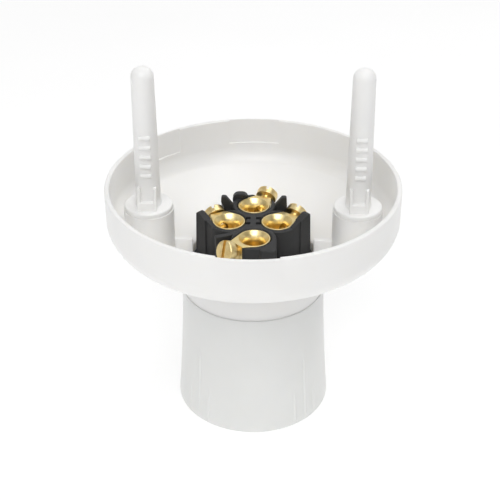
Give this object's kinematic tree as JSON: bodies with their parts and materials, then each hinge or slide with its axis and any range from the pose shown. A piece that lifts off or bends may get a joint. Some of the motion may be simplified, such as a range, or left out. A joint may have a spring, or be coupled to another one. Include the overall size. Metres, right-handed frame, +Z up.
{
  "type": "batten lamp holder",
  "caption": "Round white batten lamp holder with an open mounting dish, wall-plug pins on its bosses, a charcoal terminal block with brass clamp terminals and a tapered screw-on skirt.",
  "frame": {"origin": "centre of the skirt's mouth, on the surface it stands on", "axes": "+Z up the lamp axis towards the open mounting dish, +X towards the right-hand fixing boss"},
  "size_m": [0.0996, 0.0996, 0.1272],
  "materials": {
    "white_plastic": "moulded, satin gloss",
    "plug_plastic": "moulded, slightly waxy",
    "barrel_plastic": "moulded",
    "charcoal_plastic": "moulded, satin",
    "brass": "pressed and machined, bright",
    "screw_brass": "turned",
    "steel": "zinc plated"
  },
  "bodies": {
    "base": {"mounting_dish": "white_plastic", "terminal_block": "charcoal_plastic", "bayonet_barrel": "barrel_plastic", "fixing_plug_left": "plug_plastic", "fixing_plug_right": "plug_plastic", "retaining_screw_front": "steel", "retaining_screw_back": "steel", "active_terminal": "brass", "neutral_terminal": "brass", "loop_terminal": "brass", "earth_terminal": "brass", "plunger_spring_left": "steel", "plunger_spring_right": "steel"},
    "skirt": {"skirt": "white_plastic"},
    "contact_left": {"contact_plunger_left": "brass"},
    "contact_right": {"contact_plunger_right": "brass"},
    "active_screw": {"active_terminal_screw": "screw_brass"},
    "neutral_screw": {"neutral_terminal_screw": "screw_brass"},
    "loop_screw": {"loop_terminal_screw": "screw_brass"},
    "earth_screw": {"earth_terminal_screw": "screw_brass"}
  },
  "joints": [
    {"name": "skirt_turn", "type": "hinge", "parent": "base", "child": "skirt", "pos_m": [0, 0, 0], "axis": [0, 0, 1], "continuous": true},
    {"name": "contact_left_press", "type": "slide", "parent": "base", "child": "contact_left", "axis": [0, 0, 1], "range_m": [0, 0.004], "stiffness_N_per_m": 900, "springref_m": -0.003, "deforming": ["plunger_spring_left"]},
    {"name": "contact_right_press", "type": "slide", "parent": "base", "child": "contact_right", "axis": [0, 0, 1], "range_m": [0, 0.004], "stiffness_N_per_m": 900, "springref_m": -0.003, "deforming": ["plunger_spring_right"]},
    {"name": "active_screw_drive", "type": "slide", "parent": "base", "child": "active_screw", "axis": [0.4322, -0.8128, -0.3907], "range_m": [-0.0027, 0.00025]},
    {"name": "neutral_screw_drive", "type": "slide", "parent": "base", "child": "neutral_screw", "axis": [-0.4878, -0.7806, -0.3907], "range_m": [-0.0015, 0.00145]},
    {"name": "loop_screw_drive", "type": "slide", "parent": "base", "child": "loop_screw", "axis": [-0.2997, -0.8704, -0.3907], "range_m": [-0.0015, 0.00145]},
    {"name": "earth_screw_drive", "type": "slide", "parent": "base", "child": "earth_screw", "axis": [0.6841, 0.6159, -0.3907], "range_m": [-0.0011, 0.00185]}
  ]
}
